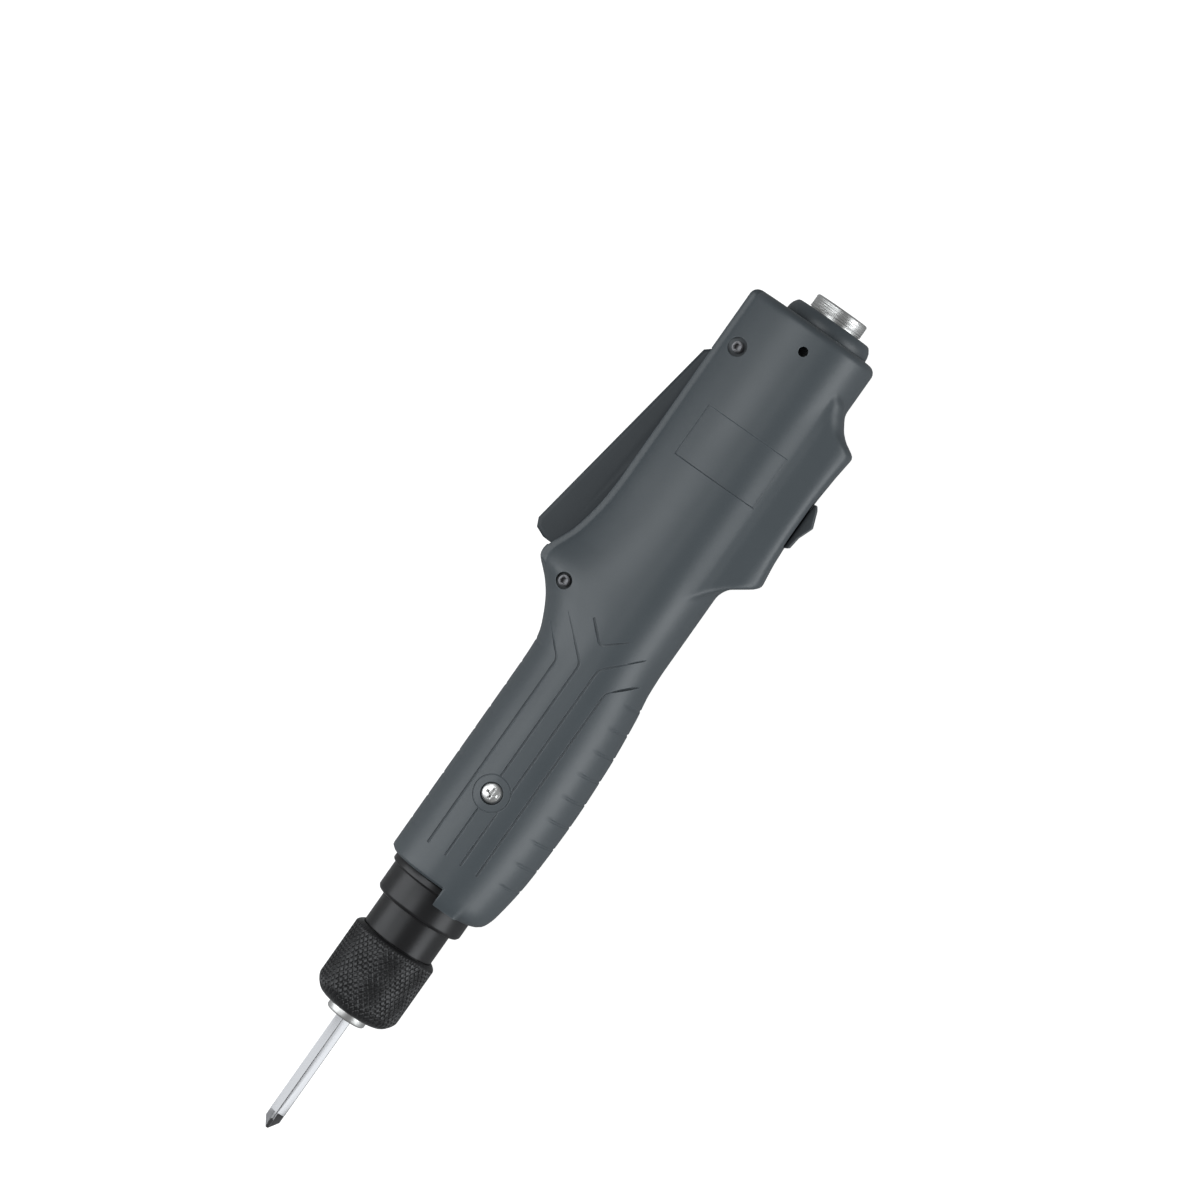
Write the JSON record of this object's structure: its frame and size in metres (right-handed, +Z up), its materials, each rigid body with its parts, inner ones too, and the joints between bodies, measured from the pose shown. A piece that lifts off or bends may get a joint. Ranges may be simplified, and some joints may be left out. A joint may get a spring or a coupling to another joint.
{
  "type": "electric torque screwdriver",
  "caption": "Corded in-line electric torque screwdriver with start lever, knurled torque ring, direction switch and hex bit.",
  "frame": {"origin": "on the spindle axis at the front face of the nose's torque ring", "axes": "the tool lies on its right side: +X along the spindle axis from the nose to the cable connector, +Y towards the start lever, +Z up, out of the left side of the housing"},
  "size_m": [0.247, 0.0564, 0.0342],
  "materials": {
    "housing_plastic": "satin moulded, dark slate grey, fine texture",
    "lever_plastic": "satin moulded, dark slate grey",
    "knob_plastic": "satin moulded, dark grey",
    "black_anodised": "turned and black anodised",
    "knurled_black": "diamond knurled and black anodised",
    "bright_steel": "ground",
    "nickel_plate": "nickel plated",
    "dark_steel": "blackened",
    "spring_steel": "drawn wire",
    "gear_steel": "sintered",
    "brass_metal": "machined",
    "bronze_bush": "sintered bronze",
    "copper_wire": "enamelled winding",
    "magnet_black": "sintered ferrite",
    "lamination": "stacked sheet",
    "insulator": "moulded",
    "brush_carbon": "carbon",
    "board_green": "lacquered glass fibre",
    "component_black": "moulded",
    "gold_contact": "gold plated"
  },
  "bodies": {
    "housing": {"shell_left": "housing_plastic", "shell_right": "housing_plastic", "nose_tube": "black_anodised", "bearing_outer_race": "bright_steel", "gear_case": "gear_steel", "motor_can": "nickel_plate", "motor_magnets": "magnet_black", "motor_front_bush": "bronze_bush", "motor_rear_bush": "bronze_bush", "motor_brushes": "brush_carbon", "motor_end_bell": "insulator", "torque_spring": "spring_steel", "lever_pin": "bright_steel", "lever_spring": "spring_steel", "start_switch": "component_black", "slide_switch": "component_black", "slide_board": "board_green", "circuit_board": "board_green", "board_components": "component_black", "rear_boss": "housing_plastic", "connector_shell": "nickel_plate", "connector_insert": "insulator", "contact_pins": "gold_contact", "case_screws": "dark_steel", "grip_screw": "nickel_plate"},
    "spring_seat": {"spring_seat": "gear_steel"},
    "torque_ring": {"torque_ring": "knurled_black"},
    "spindle": {"spindle": "bright_steel", "sleeve_clip": "spring_steel", "bit": "bright_steel", "bit_ball": "bright_steel", "clutch_cam": "gear_steel", "clutch_balls": "bright_steel", "output_carrier": "gear_steel", "output_planet_pins": "bright_steel", "bearing_inner_race": "bright_steel", "bearing_balls": "bright_steel", "sleeve_spring": "spring_steel"},
    "bit_sleeve": {"bit_sleeve": "nickel_plate"},
    "middle_carrier": {"middle_carrier": "gear_steel", "middle_planet_pins": "bright_steel"},
    "rotor": {"motor_shaft": "bright_steel", "motor_core": "lamination", "motor_windings": "copper_wire", "commutator": "copper_wire", "motor_pinion": "brass_metal"},
    "lever": {"lever": "lever_plastic"},
    "start_plunger": {"start_plunger": "knob_plastic"},
    "direction_knob": {"direction_knob": "knob_plastic", "slide_stem": "component_black"},
    "output_planet_1": {"output_planet_1": "gear_steel"},
    "motor_planet_1": {"motor_planet_1": "gear_steel"},
    "output_planet_2": {"output_planet_2": "gear_steel"},
    "motor_planet_2": {"motor_planet_2": "gear_steel"},
    "output_planet_3": {"output_planet_3": "gear_steel"},
    "motor_planet_3": {"motor_planet_3": "gear_steel"}
  },
  "joints": [
    {"name": "motor_spin", "type": "hinge", "parent": "housing", "child": "rotor", "pos_m": [0.08, 0, 0], "axis": [1, 0, 0], "continuous": true},
    {"name": "middle_carrier_spin", "type": "hinge", "parent": "housing", "child": "middle_carrier", "pos_m": [0.0525, 0, 0], "axis": [1, 0, 0], "continuous": true},
    {"name": "spindle_spin", "type": "hinge", "parent": "housing", "child": "spindle", "pos_m": [0.02, 0, 0], "axis": [1, 0, 0], "continuous": true},
    {"name": "torque_travel", "type": "slide", "parent": "housing", "child": "spring_seat", "axis": [1, 0, 0], "range_m": [-0.0015, 0.006], "deforming": ["torque_spring"]},
    {"name": "torque_turn", "type": "hinge", "parent": "spring_seat", "child": "torque_ring", "pos_m": [0.01, 0, 0], "axis": [1, 0, 0], "range_deg": [-360, 1440]},
    {"name": "lever_press", "type": "hinge", "parent": "housing", "child": "lever", "pos_m": [0.183, 0.0172, 0], "axis": [0, 0, 1], "range_deg": [0, 6.6], "stiffness_Nm_per_rad": 0.9, "springref_deg": -2.86, "deforming": ["lever_spring"]},
    {"name": "start_plunger_press", "type": "slide", "parent": "housing", "child": "start_plunger", "axis": [0, -1, 0], "range_m": [0, 0.00265]},
    {"name": "direction_slide", "type": "slide", "parent": "housing", "child": "direction_knob", "axis": [1, 0, 0], "range_m": [0, 0.0032]},
    {"name": "sleeve_pull", "type": "slide", "parent": "spindle", "child": "bit_sleeve", "axis": [-1, 0, 0], "range_m": [0, 0.0018], "stiffness_N_per_m": 600, "springref_m": -0.001, "deforming": ["sleeve_spring"]},
    {"name": "motor_planet_1_spin", "type": "hinge", "parent": "middle_carrier", "child": "motor_planet_1", "pos_m": [0.0562, 0.00675, 0], "axis": [1, 0, 0], "continuous": true},
    {"name": "output_planet_1_spin", "type": "hinge", "parent": "spindle", "child": "output_planet_1", "pos_m": [0.0487, 0.00675, 0], "axis": [1, 0, 0], "continuous": true},
    {"name": "motor_planet_2_spin", "type": "hinge", "parent": "middle_carrier", "child": "motor_planet_2", "pos_m": [0.0562, -0.00337, 0.00585], "axis": [1, 0, 0], "continuous": true},
    {"name": "output_planet_2_spin", "type": "hinge", "parent": "spindle", "child": "output_planet_2", "pos_m": [0.0487, -0.00337, 0.00585], "axis": [1, 0, 0], "continuous": true},
    {"name": "motor_planet_3_spin", "type": "hinge", "parent": "middle_carrier", "child": "motor_planet_3", "pos_m": [0.0562, -0.00338, -0.00585], "axis": [1, 0, 0], "continuous": true},
    {"name": "output_planet_3_spin", "type": "hinge", "parent": "spindle", "child": "output_planet_3", "pos_m": [0.0487, -0.00338, -0.00585], "axis": [1, 0, 0], "continuous": true}
  ],
  "couplings": [
    {"joint": "middle_carrier_spin", "follows": "motor_spin", "ratio": 0.22222},
    {"joint": "spindle_spin", "follows": "motor_spin", "ratio": 0.049383},
    {"joint": "torque_turn", "follows": "torque_travel", "rad_per_m": 4188.8},
    {"joint": "start_plunger_press", "follows": "lever_press", "m_per_rad": 0.023},
    {"joint": "motor_planet_1_spin", "follows": "motor_spin", "ratio": -0.62222},
    {"joint": "output_planet_1_spin", "follows": "motor_spin", "ratio": -0.13827},
    {"joint": "motor_planet_2_spin", "follows": "motor_spin", "ratio": -0.62222},
    {"joint": "output_planet_2_spin", "follows": "motor_spin", "ratio": -0.13827},
    {"joint": "motor_planet_3_spin", "follows": "motor_spin", "ratio": -0.62222},
    {"joint": "output_planet_3_spin", "follows": "motor_spin", "ratio": -0.13827}
  ]
}
